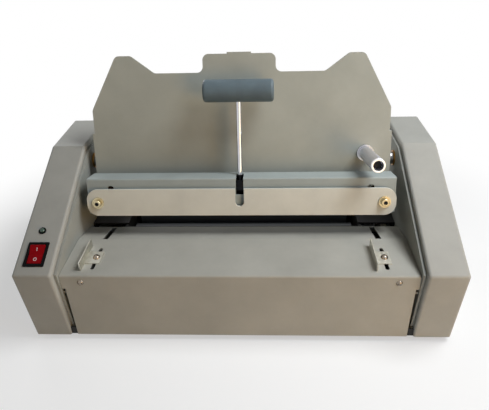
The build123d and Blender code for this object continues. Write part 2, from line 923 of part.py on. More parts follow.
# Roller bushes: flanged bushes in the tank's end walls
with BuildPart() as roller_bushes:
    for side in sides.values():
        with BuildSketch(side_plane(side * (tank_end_x - tank_wall), roller_y, roller_z)):
            ring(roller_bush_radius, roller_shaft_radius + running_clearance)
        extrude(amount=side * tank_wall)
        with BuildSketch(side_plane(side * tank_end_x, roller_y, roller_z)):
            ring(roller_bush_flange_radius, roller_shaft_radius + running_clearance)
        extrude(amount=side * roller_bush_flange)
roller_bushes.part.label = "roller_bushes"
export_step(roller_bushes.part, "parts/roller_bushes.step")

# Glue roller, its shaft and its gear
roller_half_length = tank_end_x - tank_wall - roller_end_gap
gear_end_x = gear_x + gear_face

with BuildPart() as glue_roller:
    with BuildSketch(side_plane(-roller_half_length, roller_y, roller_z)):
        ring(roller_radius, roller_shaft_radius)
    extrude(amount=2 * roller_half_length)
glue_roller.part.label = "glue_roller"
export_step(glue_roller.part, "parts/glue_roller.step")

with BuildPart() as roller_shaft:
    with BuildSketch(side_plane(-tank_end_x - roller_shaft_overhang, roller_y, roller_z)):
        Circle(roller_shaft_radius)
    extrude(amount=tank_end_x + roller_shaft_overhang + gear_end_x + overrun)
roller_shaft.part.label = "roller_shaft"
export_step(roller_shaft.part, "parts/roller_shaft.step")

with BuildPart() as roller_gear:
    with BuildSketch(side_plane(gear_x, roller_y, roller_z)):
        gear_outline(gear_teeth, mesh_angle + 180 / gear_teeth)
        Circle(roller_shaft_radius, mode=Mode.SUBTRACT)
    extrude(amount=gear_face)
roller_gear.part.label = "roller_gear"
export_step(roller_gear.part, "parts/roller_gear.step")

# Motor pinion: in mesh with the roller gear, on the motor's offset output shaft
mesh_distance = gear_module * (gear_teeth + pinion_teeth) / 2
mesh_turn = radians(mesh_angle)
pinion_y = roller_y + mesh_distance * cos(mesh_turn)
pinion_z = roller_z + mesh_distance * sin(mesh_turn)
motor_face_x = gear_x - gear_gap - motor_plate_sheet

with BuildPart() as motor_pinion:
    with BuildSketch(side_plane(gear_x, pinion_y, pinion_z)):
        gear_outline(pinion_teeth, mesh_angle + 180)
    extrude(amount=gear_face)
    with BuildSketch(side_plane(motor_face_x - motor_shaft_reach, pinion_y, pinion_z)):
        Circle(motor_shaft_radius)
    extrude(amount=gear_end_x - motor_face_x + motor_shaft_reach + overrun)
motor_pinion.part.label = "motor_pinion"
export_step(motor_pinion.part, "parts/motor_pinion.step")

# Drive motor: a flat geared motor on its bracket
motor_y = pinion_y + motor_shaft_offset * cos(mesh_turn)
motor_z = pinion_z + motor_shaft_offset * sin(mesh_turn)
motor_screw_turns = (mesh_turn + pi / 2, mesh_turn - pi / 2)
motor_screw_places = [
    (
        motor_y + motor_screw_circle_radius * cos(turn),
        motor_z + motor_screw_circle_radius * sin(turn),
    )
    for turn in motor_screw_turns
]

with BuildPart() as drive_motor:
    with BuildSketch(side_plane(motor_face_x, motor_y, motor_z)):
        Circle(motor_radius)
    extrude(amount=-motor_thickness)
    fillet(drive_motor.edges().group_by(Axis.X)[0], radius=cover_edge_radius)
    with BuildSketch(side_plane(motor_face_x, pinion_y, pinion_z)):
        Circle(motor_shaft_radius + running_clearance)
    extrude(amount=-motor_shaft_reach - overrun, mode=Mode.SUBTRACT)
    for y, z in motor_screw_places:
        with BuildSketch(side_plane(motor_face_x, y, z)):
            Circle(motor_screw_radius)
        extrude(amount=-dome_shank_length, mode=Mode.SUBTRACT)
drive_motor.part.label = "drive_motor"
export_step(drive_motor.part, "parts/drive_motor.step")

# Motor bracket: an upright plate with a foot on the pan
motor_plate_half = motor_radius + motor_plate_margin

with BuildPart() as motor_bracket:
    with BuildSketch(side_plane(motor_face_x)):
        rectangle_between(
            (motor_y - motor_plate_half, pan_top_z),
            (motor_y + motor_plate_half, motor_z + motor_plate_half),
        )
        with Locations((pinion_y, pinion_z)):
            Circle(motor_plate_hole_radius, mode=Mode.SUBTRACT)
        with Locations(*motor_screw_places):
            Circle(motor_screw_radius, mode=Mode.SUBTRACT)
    extrude(amount=motor_plate_sheet)
    with BuildSketch(Plane.XY.offset(pan_top_z)):
        rectangle_between(
            (motor_face_x - motor_thickness, motor_y - motor_plate_half),
            (motor_face_x, motor_y + motor_plate_half),
        )
    extrude(amount=motor_plate_sheet)
motor_bracket.part.label = "motor_bracket"
export_step(motor_bracket.part, "parts/motor_bracket.step")

# Motor screws: through the bracket into the motor
with BuildPart() as motor_screws:
    for y, z in motor_screw_places:
        dome_screw(
            side_plane(motor_face_x + motor_plate_sheet, y, z),
            motor_screw_head_radius,
            motor_screw_head_height,
            motor_screw_radius,
            dome_shank_length,
        )
motor_screws.part.label = "motor_screws"
export_step(motor_screws.part, "parts/motor_screws.step")

# Control board on four standoffs
board_z = pan_top_z + standoff_height

with BuildPart() as board_standoffs:
    with BuildSketch(Plane.XY.offset(pan_top_z)):
        with Locations((board_x, board_y)):
            with GridLocations(
                board_length - 2 * standoff_inset, board_depth - 2 * standoff_inset, 2, 2
            ):
                Circle(standoff_radius)
    extrude(amount=standoff_height)
board_standoffs.part.label = "board_standoffs"
export_step(board_standoffs.part, "parts/board_standoffs.step")

with BuildPart() as control_board:
    with BuildSketch(Plane.XY.offset(board_z)):
        with Locations((board_x, board_y)):
            Rectangle(board_length, board_depth)
    extrude(amount=board_thickness)
    with BuildSketch(Plane.XY.offset(board_z + board_thickness)):
        with Locations((board_x - board_length / 4, board_y)):
            Rectangle(transformer_size, transformer_size)
    extrude(amount=transformer_size)
    with BuildSketch(Plane.XY.offset(board_z + board_thickness)):
        with Locations((board_x + board_length / 4, board_y)):
            with GridLocations(0, 2 * relay_height, 1, 2):
                Rectangle(relay_length, relay_height)
    extrude(amount=relay_height)
control_board.part.label = "control_board"
export_step(control_board.part, "parts/control_board.step")

# Power inlet: a three-pin appliance inlet snapped into the rear cover
pin_places = [
    (-inlet_pin_offset, 0),
    (inlet_pin_offset, 0),
    (0, inlet_earth_rise),
]

with BuildPart() as power_inlet:
    with BuildSketch(rear_plane(inlet_x, rear_y, inlet_z)):
        RectangleRounded(inlet_flange_width, inlet_flange_height, cover_crease_radius)
    extrude(amount=dome_head_height)
    with BuildSketch(rear_plane(inlet_x, rear_y, inlet_z)):
        Rectangle(inlet_body_width, inlet_body_height)
    extrude(amount=-inlet_body_depth)
    with BuildSketch(rear_plane(inlet_x, rear_y + dome_head_height, inlet_z)):
        Rectangle(inlet_body_width - 2 * inlet_wall, inlet_body_height - 2 * inlet_wall)
    extrude(amount=inlet_wall - inlet_body_depth - dome_head_height, mode=Mode.SUBTRACT)
    pin_root_y = rear_y - inlet_body_depth + inlet_wall
    with BuildSketch(rear_plane(inlet_x, pin_root_y, inlet_z)):
        with Locations(*pin_places):
            Rectangle(inlet_pin_width, inlet_pin_height)
    extrude(amount=inlet_pin_length)
power_inlet.part.label = "power_inlet"
export_step(power_inlet.part, "parts/power_inlet.step")

# Power switch: a rimmed housing snapped into the left cover's slope
switch_opening_width = switch_width - 2 * switch_rim
switch_opening_length = switch_length - 2 * switch_rim
rocker_pivot = switch_plane.from_local_coords(Vector(0, 0, -rocker_pivot_depth))

with BuildPart() as switch_housing:
    with BuildSketch(switch_plane):
        Rectangle(switch_width, switch_length)
    extrude(amount=switch_rim_height)
    with BuildSketch(switch_plane):
        Rectangle(switch_cutout_width, switch_cutout_length)
    extrude(amount=-switch_body_depth)
    rim_edges = switch_housing.edges().filter_by(Axis.X).group_by(SortBy.LENGTH)[-1]
    fillet(rim_edges.sort_by(slope_out)[-2:], radius=seam)
    with BuildSketch(switch_plane.offset(switch_rim_height)):
        Rectangle(switch_opening_width, switch_opening_length)
    extrude(amount=switch_wall - switch_body_depth - switch_rim_height, mode=Mode.SUBTRACT)
    with BuildSketch(Plane(origin=rocker_pivot, x_dir=(0, 1, 0), z_dir=(1, 0, 0))):
        Circle(rocker_peg_radius + running_clearance)
    extrude(amount=switch_width, both=True, mode=Mode.SUBTRACT)
switch_housing.part.label = "switch_housing"
export_step(switch_housing.part, "parts/switch_housing.step")

# Switch rocker: a dished wedge that tips on two pegs in the housing's side walls
rocker_half_length = switch_opening_length / 2 - rocker_end_gap
rocker_half_width = switch_opening_width / 2 - rocker_gap
rocker_tilt = radians(rocker_swing)
rocker_side = Plane(
    origin=rocker_pivot,
    x_dir=slope_plane.y_dir * cos(rocker_tilt) + slope_plane.z_dir * sin(rocker_tilt),
    z_dir=(1, 0, 0),
)

with BuildPart() as switch_rocker:
    with BuildSketch(rocker_side.offset(-rocker_half_width)):
        with BuildLine():
            Polyline(
                (-rocker_half_length, rocker_top_rise),
                (0, rocker_top_rise - rocker_dip),
                (rocker_half_length, rocker_top_rise),
                (rocker_half_length - rocker_heel, -rocker_depth),
                (rocker_heel - rocker_half_length, -rocker_depth),
                close=True,
            )
        make_face()
    extrude(amount=2 * rocker_half_width)
    fillet(switch_rocker.edges().filter_by(Axis.X), radius=seam)
    with BuildSketch(rocker_side):
        Circle(rocker_peg_radius)
    extrude(amount=rocker_half_width + rocker_peg_reach, both=True)
switch_rocker.part.label = "switch_rocker"
export_step(switch_rocker.part, "parts/switch_rocker.step")

# Indicator lamp: a bezel in the slope and a lens in the bezel
with BuildPart() as lamp_bezel:
    with BuildSketch(lamp_plane):
        Circle(lamp_bezel_radius)
    extrude(amount=lamp_bezel_height)
    fillet(lamp_bezel.edges().sort_by(slope_out)[-1], radius=seam)
    with BuildSketch(lamp_plane):
        Circle(lamp_body_radius)
    extrude(amount=-lamp_body_depth)
    with BuildSketch(lamp_plane):
        Circle(lamp_lens_radius)
    extrude(amount=lamp_lens_height, mode=Mode.SUBTRACT)
lamp_bezel.part.label = "lamp_bezel"
export_step(lamp_bezel.part, "parts/lamp_bezel.step")

with BuildPart() as lamp_lens:
    with BuildSketch(lamp_plane):
        Circle(lamp_lens_radius)
    extrude(amount=lamp_lens_height)
    fillet(lamp_lens.edges().sort_by(slope_out)[-1], radius=lamp_lens_round)
lamp_lens.part.label = "lamp_lens"
export_step(lamp_lens.part, "parts/lamp_lens.step")

# Pivot bushes: brass, flanged on the inner side of the frames
with BuildPart() as pivot_bushes:
    for side in sides.values():
        with BuildSketch(side_plane(side * frame_inner_x, pivot_y, pivot_z)):
            ring(pivot_bush_radius, pivot_shaft_radius + running_clearance)
        extrude(amount=side * (frame_sheet + pivot_shaft_reach))
        with BuildSketch(side_plane(side * frame_inner_x, pivot_y, pivot_z)):
            ring(pivot_bush_flange_radius, pivot_shaft_radius + running_clearance)
        extrude(amount=-side * pivot_bush_flange)
pivot_bushes.part.label = "pivot_bushes"
export_step(pivot_bushes.part, "parts/pivot_bushes.step")

# Back plate: the tall sheet behind the pages, with two ears and a middle tab
plate_front = -jaw_gap
plate_back = plate_front - plate_sheet
right_outline = [
    (plate_half_width, plate_bottom),
    (plate_half_width, plate_side_top),
    (ear_outer_x, ear_top),
    (ear_inner_x, ear_top),
    (ear_foot_x, valley_height),
    (tab_half_width, valley_height),
    (tab_half_width, tab_top),
    (tab_lip_half_width, tab_top),
    (tab_lip_half_width, tab_top + tab_lip_rise),
]
left_outline = [(-x, height) for x, height in reversed(right_outline)]

with BuildPart() as back_plate:
    with BuildSketch(clamp_plane(0, 0, plate_back)) as plate_view:
        with BuildLine():
            Polyline(*right_outline, *left_outline, close=True)
        make_face()
        round_corners = plate_view.vertices().filter_by(
            lambda corner: abs(corner.X) > tab_lip_half_width + overrun
            and corner.Y > plate_bottom + overrun
        )
        fillet(round_corners, radius=plate_corner_radius)
        for side in sides.values():
            with Locations((side * jaw_screw_x, jaw_screw_height)):
                Circle(guide_bush_radius, mode=Mode.SUBTRACT)
        with Locations((handle_x, handle_height)):
            Circle(handle_stud_radius, mode=Mode.SUBTRACT)
    extrude(amount=plate_sheet)
back_plate.part.label = "back_plate"
export_step(back_plate.part, "parts/back_plate.step")

# Swing arms: end plates that carry the back plate from the pivot
for name, side in sides.items():
    with BuildPart() as swing_arm:
        with BuildSketch(clamp_side.offset(side * plate_half_width)):
            with Locations((pivot_local.X, pivot_local.Y)):
                Circle(arm_boss_radius)
            rectangle_between(
                (-plate_front, arm_root_bottom), (-plate_back + plate_sheet, arm_root_top)
            )
            make_hull()
            with Locations((pivot_local.X, pivot_local.Y)):
                Circle(pivot_shaft_radius, mode=Mode.SUBTRACT)
        extrude(amount=side * plate_sheet)
    swing_arm.part.label = f"swing_arm_{name}"
    export_step(swing_arm.part, f"parts/swing_arm_{name}.step")

# Pivot shafts: collared stubs from the arms into the bushes
arm_outer_x = plate_half_width + plate_sheet
collar_end_x = frame_inner_x - pivot_bush_flange - seam

with BuildPart() as pivot_shafts:
    for side in sides.values():
        with BuildSketch(side_plane(side * plate_half_width, pivot_y, pivot_z)):
            Circle(pivot_shaft_radius)
        extrude(amount=side * (frame_outer_x + pivot_shaft_reach - plate_half_width))
        with BuildSketch(side_plane(side * arm_outer_x, pivot_y, pivot_z)):
            Circle(pivot_collar_radius)
        extrude(amount=side * (collar_end_x - arm_outer_x))
pivot_shafts.part.label = "pivot_shafts"
export_step(pivot_shafts.part, "parts/pivot_shafts.step")

# Guide bushes: flanged behind the back plate, for the jaw's rods
with BuildPart() as guide_bushes:
    for side in sides.values():
        with BuildSketch(clamp_plane(side * jaw_screw_x, jaw_screw_height, plate_front)):
            ring(guide_bush_radius, guide_rod_radius + running_clearance)
        extrude(amount=-plate_sheet - guide_bush_flange - guide_bush_tail)
        with BuildSketch(clamp_plane(side * jaw_screw_x, jaw_screw_height, plate_back)):
            ring(guide_bush_flange_radius, guide_rod_radius + running_clearance)
        extrude(amount=-guide_bush_flange)
guide_bushes.part.label = "guide_bushes"
export_step(guide_bushes.part, "parts/guide_bushes.step")

# Swing handle: a sleeve that turns on a headed stud, with a collar at its root
collar_front = plate_front + handle_collar_thickness
sleeve_back = collar_front + touch_gap
sleeve_front = sleeve_back + handle_length
stud_seat = sleeve_front - handle_bore_depth + touch_gap

with BuildPart() as handle_collar:
    with BuildSketch(clamp_plane(handle_x, handle_height, plate_front)):
        ring(handle_collar_radius, handle_stud_radius)
    extrude(amount=handle_collar_thickness)
handle_collar.part.label = "handle_collar"
export_step(handle_collar.part, "parts/handle_collar.step")

with BuildPart() as handle_sleeve:
    with BuildSketch(clamp_plane(handle_x, handle_height, sleeve_back)):
        ring(handle_radius, handle_stud_radius + running_clearance)
    extrude(amount=handle_length)
    with BuildSketch(clamp_plane(handle_x, handle_height, sleeve_front)):
        Circle(handle_bore_radius)
    extrude(amount=-handle_bore_depth, mode=Mode.SUBTRACT)
    front_edges = handle_sleeve.edges().group_by(clamp_forward)[-1]
    chamfer(front_edges.sort_by(SortBy.RADIUS)[-1], length=overrun)
handle_sleeve.part.label = "handle_sleeve"
export_step(handle_sleeve.part, "parts/handle_sleeve.step")

with BuildPart() as handle_stud:
    with BuildSketch(clamp_plane(handle_x, handle_height, plate_back - handle_nut_height)):
        Circle(handle_stud_radius)
    extrude(amount=stud_seat - plate_back + handle_nut_height)
    with BuildSketch(clamp_plane(handle_x, handle_height, stud_seat)):
        Circle(handle_stud_head_radius)
    extrude(amount=handle_stud_head_height)
    with BuildSketch(clamp_plane(handle_x, handle_height, plate_back)):
        RegularPolygon(handle_nut_radius, 6)
    extrude(amount=-handle_nut_height)
handle_stud.part.label = "handle_stud"
export_step(handle_stud.part, "parts/handle_stud.step")

# Jaw channel: the folded front jaw, open towards the pages, with the lever's slot
web_back = channel_depth - channel_sheet
jaw_plate_back = channel_depth + jaw_plate_gap
jaw_plate_front = jaw_plate_back + jaw_plate_sheet

with BuildPart() as jaw_channel:
    with BuildSketch(clamp_side.offset(-jaw_half_width)):
        rectangle_between((-channel_depth, channel_bottom), (-channel_back_gap, channel_top))
    extrude(amount=2 * jaw_half_width)
    front_folds = jaw_channel.edges().filter_by(Axis.X).sort_by(clamp_forward)[-2:]
    fillet(front_folds, radius=channel_bend_radius)
    with BuildSketch(clamp_side.offset(-jaw_half_width)):
        rectangle_between(
            (-web_back, channel_bottom + channel_sheet),
            (overrun, channel_top - channel_sheet),
        )
    extrude(amount=2 * jaw_half_width, mode=Mode.SUBTRACT)
    with BuildSketch(clamp_plane(0, 0, channel_slot_back)):
        rectangle_between(
            (-channel_slot_width / 2, channel_top - channel_sheet - overrun),
            (channel_slot_width / 2, channel_top + overrun),
        )
    extrude(amount=channel_depth - channel_slot_back + overrun, mode=Mode.SUBTRACT)
    with BuildSketch(clamp_plane(0, 0, web_back - overrun)):
        rectangle_between(
            (-channel_slot_width / 2, channel_slot_bottom),
            (channel_slot_width / 2, channel_top + overrun),
        )
        for side in sides.values():
            with Locations((side * channel_hole_x, channel_hole_height)):
                Circle(channel_hole_radius)
            with Locations((side * jaw_screw_x, jaw_screw_height)):
                Circle(guide_rod_radius)
            with Locations((side * pad_post_x, pad_post_height)):
                Circle(pad_post_radius + running_clearance)
    extrude(amount=channel_sheet + 2 * overrun, mode=Mode.SUBTRACT)
jaw_channel.part.label = "jaw_channel"
export_step(jaw_channel.part, "parts/jaw_channel.step")

# Jaw front plate: round-ended, notched in the middle for the lever
with BuildPart() as jaw_front_plate:
    with BuildSketch(clamp_plane(0, 0, jaw_plate_back)):
        with Locations((0, (jaw_plate_bottom + jaw_plate_top) / 2)):
            RectangleRounded(
                2 * jaw_half_width, jaw_plate_top - jaw_plate_bottom, jaw_plate_end_radius
            )
        with Locations((0, notch_bottom + notch_width / 2)):
            Circle(notch_width / 2, mode=Mode.SUBTRACT)
            Rectangle(
                notch_width,
                jaw_plate_top,
                align=(Align.CENTER, Align.MIN),
                mode=Mode.SUBTRACT,
            )
        for side in sides.values():
            with Locations((side * jaw_screw_x, jaw_screw_height)):
                Circle(jaw_screw_radius, mode=Mode.SUBTRACT)
    extrude(amount=jaw_plate_sheet)
jaw_front_plate.part.label = "jaw_front_plate"
export_step(jaw_front_plate.part, "parts/jaw_front_plate.step")

# Guide rods: shouldered rods fixed to the jaw, sliding in the back plate's bushes
with BuildPart() as guide_rods:
    for side in sides.values():
        with BuildSketch(clamp_plane(side * jaw_screw_x, jaw_screw_height, -guide_rod_tail)):
            Circle(guide_rod_radius)
        extrude(amount=guide_rod_tail + jaw_plate_back)
        with BuildSketch(clamp_plane(side * jaw_screw_x, jaw_screw_height, channel_depth)):
            Circle(guide_collar_radius)
        extrude(amount=jaw_plate_gap)
        with BuildSketch(clamp_plane(side * jaw_screw_x, jaw_screw_height, jaw_plate_back)):
            Circle(jaw_screw_radius)
        extrude(amount=-jaw_screw_reach, mode=Mode.SUBTRACT)
guide_rods.part.label = "guide_rods"
export_step(guide_rods.part, "parts/guide_rods.step")

# Jaw washers and screws: socket heads at the ends of the front plate
washer_front = jaw_plate_front + jaw_washer_thickness

with BuildPart() as jaw_washers:
    for side in sides.values():
        with BuildSketch(clamp_plane(side * jaw_screw_x, jaw_screw_height, jaw_plate_front)):
            ring(jaw_washer_radius, jaw_screw_radius)
        extrude(amount=jaw_washer_thickness)
jaw_washers.part.label = "jaw_washers"
export_step(jaw_washers.part, "parts/jaw_washers.step")

with BuildPart() as jaw_screws:
    for side in sides.values():
        with BuildSketch(clamp_plane(side * jaw_screw_x, jaw_screw_height, washer_front)):
            Circle(jaw_screw_head_radius)
        extrude(amount=jaw_screw_head_height)
    head_rims = jaw_screws.edges().group_by(clamp_forward)[-1]
    chamfer(head_rims, length=seam)
    for side in sides.values():
        screw_front = washer_front + jaw_screw_head_height
        with BuildSketch(clamp_plane(side * jaw_screw_x, jaw_screw_height, screw_front)):
            RegularPolygon(jaw_screw_socket_radius, 6)
        extrude(amount=-jaw_screw_socket_depth, mode=Mode.SUBTRACT)
        with BuildSketch(clamp_plane(side * jaw_screw_x, jaw_screw_height, washer_front)):
            Circle(jaw_screw_radius)
        extrude(amount=-jaw_screw_reach)
jaw_screws.part.label = "jaw_screws"
export_step(jaw_screws.part, "parts/jaw_screws.step")

# Lever lugs and pin: angles on the channel's web that carry the cam
lug_inner_x = cam_width / 2 + lug_gap
lug_outer_x = lug_inner_x + lug_sheet

with BuildPart() as lever_lugs:
    for side in sides.values():
        with BuildSketch(clamp_side.offset(side * lug_inner_x)):
            rectangle_between((-web_back, lug_bottom), (-lug_back, lug_top))
            with Locations((-cam_pivot_forward, cam_pivot_height)):
                Circle(lever_pin_radius, mode=Mode.SUBTRACT)
        extrude(amount=side * lug_sheet)
        with BuildSketch(clamp_side.offset(side * lug_outer_x)):
            rectangle_between((-web_back, lug_bottom), (lug_sheet - web_back, lug_top))
        extrude(amount=side * lug_foot)
lever_lugs.part.label = "lever_lugs"
export_step(lever_lugs.part, "parts/lever_lugs.step")

with BuildPart() as lever_pin:
    with BuildSketch(clamp_side.offset(-lug_outer_x - overrun)):
        with Locations((-cam_pivot_forward, cam_pivot_height)):
            Circle(lever_pin_radius)
    extrude(amount=2 * (lug_outer_x + overrun))
lever_pin.part.label = "lever_pin"
export_step(lever_pin.part, "parts/lever_pin.step")

# Lever cam: an eccentric that lets the pad back as the lever swings forward; its neck holds the rod
cam_start = radians(90 - lever_swing / 2)
cam_throw = pad_travel / (2 * sin(radians(lever_swing / 2)))
cam_radius = cam_pivot_forward - pad_sheet - touch_gap - cam_throw * cos(cam_start)
cam_middle = (
    -cam_pivot_forward + cam_throw * cos(cam_start),
    cam_pivot_height + cam_throw * sin(cam_start),
)
rod_root_height = cam_pivot_height + lever_rod_root
cam_neck_height = cam_pivot_height + cam_boss_height

with BuildPart() as lever_cam:
    with BuildSketch(clamp_side.offset(-cam_width / 2)):
        with Locations(cam_middle):
            Circle(cam_radius)
        rectangle_between(
            (-cam_pivot_forward - cam_width / 2, cam_pivot_height),
            (-cam_pivot_forward + cam_width / 2, cam_pivot_height + cam_boss_height),
        )
        with Locations((-cam_pivot_forward, cam_pivot_height)):
            Circle(lever_pin_radius + running_clearance, mode=Mode.SUBTRACT)
    extrude(amount=cam_width)
    with BuildSketch(clamp_up_plane(0, cam_neck_height, cam_pivot_forward)):
        Circle(cam_neck_radius)
    extrude(amount=cam_neck_length)
    with BuildSketch(clamp_up_plane(0, rod_root_height, cam_pivot_forward)):
        Circle(lever_rod_radius)
    extrude(amount=cam_boss_height + cam_neck_length, mode=Mode.SUBTRACT)
lever_cam.part.label = "lever_cam"
export_step(lever_cam.part, "parts/lever_cam.step")

# Lever rod and grip
rod_top_height = grip_height - grip_radius + grip_bore_depth

with BuildPart() as lever_rod:
    with BuildSketch(clamp_up_plane(0, rod_root_height, cam_pivot_forward)):
        Circle(lever_rod_radius)
    extrude(amount=rod_top_height - rod_root_height)
lever_rod.part.label = "lever_rod"
export_step(lever_rod.part, "parts/lever_rod.step")

with BuildPart() as lever_grip:
    with BuildSketch(clamp_side.offset(-grip_length / 2)):
        with Locations((-cam_pivot_forward, grip_height)):
            Circle(grip_radius)
    extrude(amount=grip_length)
    fillet(lever_grip.edges().filter_by(GeomType.CIRCLE), radius=grip_end_radius)
    with BuildSketch(clamp_up_plane(0, grip_height - 2 * grip_radius, cam_pivot_forward)):
        Circle(lever_rod_radius)
    extrude(amount=grip_radius + grip_bore_depth, mode=Mode.SUBTRACT)
lever_grip.part.label = "lever_grip"
export_step(lever_grip.part, "parts/lever_grip.step")

# Pressure pad: the sliding face inside the channel, guided by two posts through the web
pad_bottom = channel_bottom + channel_sheet + pad_margin
pad_top = channel_top - channel_sheet - pad_margin
post_front = jaw_plate_back - pad_post_end_gap - pad_travel

with BuildPart() as pressure_pad:
    with BuildSketch(clamp_plane(0, 0, 0)):
        rectangle_between((-pad_half_width, pad_bottom), (pad_half_width, pad_top))
    extrude(amount=pad_sheet)
    with BuildSketch(clamp_plane(0, 0, pad_sheet)):
        for side in sides.values():
            with Locations((side * pad_post_x, pad_post_height)):
                Circle(pad_post_radius)
    extrude(amount=post_front - pad_sheet)
pressure_pad.part.label = "pressure_pad"
export_step(pressure_pad.part, "parts/pressure_pad.step")

# Side stops: two of the same angle, lip to the left, each held in its slot by a screw and nut
stop_top_z = table_z + stop_sheet
stop_nut_top_z = table_z - panel_sheet - touch_gap

for name, side in sides.items():
    stop_x = side * stop_slot_x
    stop_lip_x = stop_x - stop_lip_reach
    with BuildPart() as side_stop:
        with BuildSketch(Plane.XY.offset(table_z)):
            rectangle_between(
                (stop_lip_x, stop_screw_y - stop_foot_length / 2),
                (stop_lip_x + stop_foot_width, stop_screw_y + stop_foot_length / 2),
            )
            with Locations((stop_x, stop_screw_y)):
                Circle(dome_shank_radius, mode=Mode.SUBTRACT)
        extrude(amount=stop_sheet)
        with BuildSketch(Plane.XY.offset(table_z)):
            rectangle_between(
                (stop_lip_x, stop_lip_front_y),
                (stop_lip_x + stop_sheet, stop_lip_front_y + stop_lip_length),
            )
        extrude(amount=stop_lip_height)
    side_stop.part.label = f"side_stop_{name}"
    export_step(side_stop.part, f"parts/side_stop_{name}.step")

    with BuildPart() as stop_screw:
        dome_screw(
            Plane(origin=(stop_x, stop_screw_y, stop_top_z)),
            stop_screw_head_radius,
            stop_screw_head_height,
            dome_shank_radius,
            stop_top_z - stop_nut_top_z + stop_nut_height + overrun,
        )
        with BuildSketch(Plane(origin=(stop_x, stop_screw_y, stop_nut_top_z))):
            RegularPolygon(stop_nut_radius, 6)
        extrude(amount=-stop_nut_height)
    stop_screw.part.label = f"stop_screw_{name}"
    export_step(stop_screw.part, f"parts/stop_screw_{name}.step")
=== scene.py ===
"""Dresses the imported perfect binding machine: camera, light, floor, finishes and fine pieces."""

from math import cos, pi, radians, sin, tan

import bpy
from mathutils import Matrix, Vector


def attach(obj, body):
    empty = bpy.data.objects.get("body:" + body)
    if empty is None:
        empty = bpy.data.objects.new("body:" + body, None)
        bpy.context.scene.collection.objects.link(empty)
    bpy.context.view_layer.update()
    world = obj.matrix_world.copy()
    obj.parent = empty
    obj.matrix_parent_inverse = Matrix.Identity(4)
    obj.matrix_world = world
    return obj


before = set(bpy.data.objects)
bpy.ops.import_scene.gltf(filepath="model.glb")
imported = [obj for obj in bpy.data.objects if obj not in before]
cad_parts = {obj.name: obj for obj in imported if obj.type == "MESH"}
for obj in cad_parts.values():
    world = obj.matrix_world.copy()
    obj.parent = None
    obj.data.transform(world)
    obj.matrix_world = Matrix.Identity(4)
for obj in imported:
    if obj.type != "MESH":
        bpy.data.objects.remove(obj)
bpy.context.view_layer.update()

# One millimetre in metres
mm = 0.001
white = (1, 1, 1, 1)

# Sizes repeated from the solids, in millimetres, and angles, in radians
lean = radians(15)
clamp_foot_y = -6.5
table_z = 108
handle_x = 171.5
handle_height = 89.8
sleeve_front = 67.3
sleeve_radius = 9
sleeve_bore_radius = 6.4
stud_head_front = 60.6
stud_head_radius = 5.4
jaw_screw_x = 189
jaw_screw_height = 35.5
jaw_socket_floor = 43
jaw_socket_radius = 2.9
rocker_x = -246
rocker_pivot_y = -115.332
rocker_pivot_z = 127.706
slope_angle = radians(23.954)
rocker_tilt = radians(8)
rocker_dip_height = 2.6
rocker_face_fall = radians(7.35)

# Camera, in millimetres and degrees; focal length, photo width and axis rise in pixels
camera_place = (35.1, -580.7, 494.0)
camera_pitch = 31.37
camera_yaw = -2.98
camera_roll = -1.85
focal_pixels = 489.2
photo_width = 489
sensor_width = 36
optical_axis_rise = 8.1

# Finishes by name, filled as they are made
finishes = {}


def linear(hex_colour):
    """Return an sRGB hex colour as linear red, green, blue and alpha."""
    channels = []
    for start in (1, 3, 5):
        value = int(hex_colour[start:start + 2], 16) / 255
        if value <= 0.04045:
            channels.append(value / 12.92)
        else:
            channels.append(((value + 0.055) / 1.055) ** 2.4)
    return (*channels, 1)


def add_node(tree, kind, values=None, links=None, **settings):
    """Add a node to the tree with its settings, socket values and incoming links."""
    made = tree.nodes.new(kind)
    for name, value in settings.items():
        setattr(made, name, value)
    for name, value in (values or {}).items():
        made.inputs[name].default_value = value
    for name, source in (links or {}).items():
        tree.links.new(source, made.inputs[name])
    return made


def start_finish(name):
    """Add an empty finish, and return its node tree and the place of the point being shaded."""
    finishes[name] = bpy.data.materials.new(name)
    finishes[name].use_nodes = True
    tree = finishes[name].node_tree
    tree.nodes.clear()
    return tree, add_node(tree, "ShaderNodeTexCoord").outputs["Object"]


def join_finish(
    tree, hex_colour, shader_values, tone, tone_span, tone_shares, gloss, gloss_span,
    relief, relief_strength, relief_height, edge_radius,
):
    """Let patterns vary the shader: its colour by tone, roughness by gloss and bump by relief.

    The two tone_shares of the colour are reached at the ends of tone_span, and the roughness
    runs over gloss_span. The relief's height and the edges' radius are in millimetres.
    """
    colour = linear(hex_colour)[:3]
    ramp = add_node(tree, "ShaderNodeValToRGB", links={"Fac": tone.outputs["Fac"]})
    for stop, position, share in zip(ramp.color_ramp.elements, tone_span, tone_shares):
        stop.position = position
        stop.color = (*[share * part for part in colour], 1)
    lowest, highest = gloss_span
    roughness = add_node(
        tree, "ShaderNodeMapRange", values={"To Min": lowest, "To Max": highest},
        links={"Value": gloss.outputs["Fac"]},
    )
    edge = add_node(tree, "ShaderNodeBevel", values={"Radius": edge_radius * mm}, samples=4)
    bump = add_node(
        tree, "ShaderNodeBump",
        values={"Strength": relief_strength, "Distance": relief_height * mm},
        links={"Height": relief.outputs["Fac"], "Normal": edge.outputs["Normal"]},
    )
    shader = add_node(
        tree, "ShaderNodeBsdfPrincipled", values=shader_values,
        links={
            "Base Color": ramp.outputs["Color"],
            "Roughness": roughness.outputs["Result"],
            "Normal": bump.outputs["Normal"],
        },
    )
    add_node(tree, "ShaderNodeOutputMaterial", links={"Surface": shader.outputs[0]})


